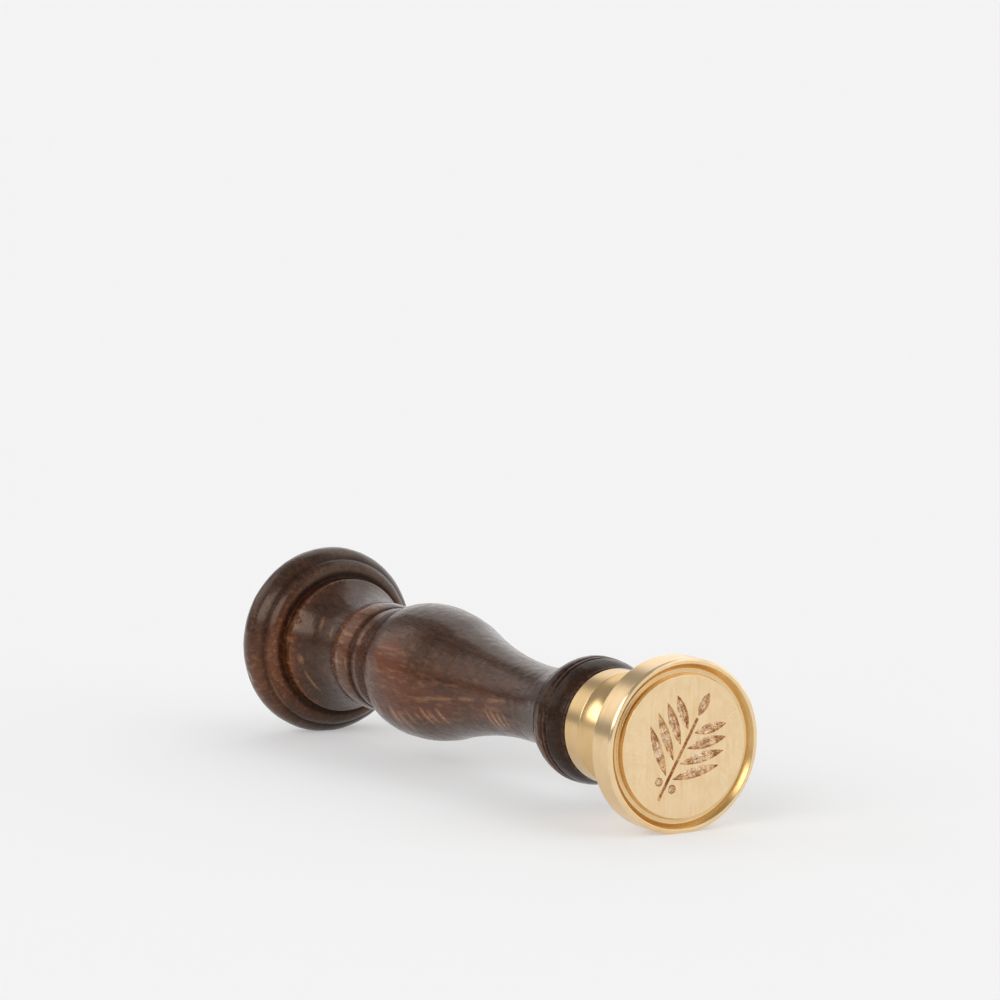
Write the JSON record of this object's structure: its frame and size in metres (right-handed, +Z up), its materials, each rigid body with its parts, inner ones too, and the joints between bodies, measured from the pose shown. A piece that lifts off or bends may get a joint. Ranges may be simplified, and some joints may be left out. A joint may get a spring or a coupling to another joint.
{
  "type": "wax seal stamp",
  "caption": "Wax seal stamp: turned dark-stained wooden handle with a screw-on brass head, whose round engraved die has a rim and a ring groove.",
  "frame": {"origin": "centre of the bounding box's underside, on the table that the stamp lies on", "axes": "+X along the stamp's length, towards the die; +Z up from the table; the axis slopes down to the die by less than one degree"},
  "size_m": [0.1036, 0.028, 0.0279],
  "materials": {
    "stained_wood": "satin dark stain over turned hardwood",
    "insert_brass": "plain turned",
    "stud_steel": "zinc-plated thread",
    "satin_brass": "turned satin brass with a brushed face"
  },
  "bodies": {
    "handle": {"handle": "stained_wood", "threaded_insert": "insert_brass"},
    "stud": {"stud": "stud_steel"},
    "head": {"seal_head": "satin_brass"}
  },
  "joints": [
    {"name": "stud_travel", "type": "slide", "parent": "handle", "child": "stud", "axis": [0.9999, 0, -0.0158], "range_m": [0, 0.0075]},
    {"name": "head_turn", "type": "hinge", "parent": "stud", "child": "head", "pos_m": [0.0332, 0, 0.01258], "axis": [0.9999, 0, -0.0158], "range_deg": [0, 2701]}
  ],
  "couplings": [
    {"joint": "head_turn", "follows": "stud_travel", "rad_per_m": 6283.2}
  ]
}
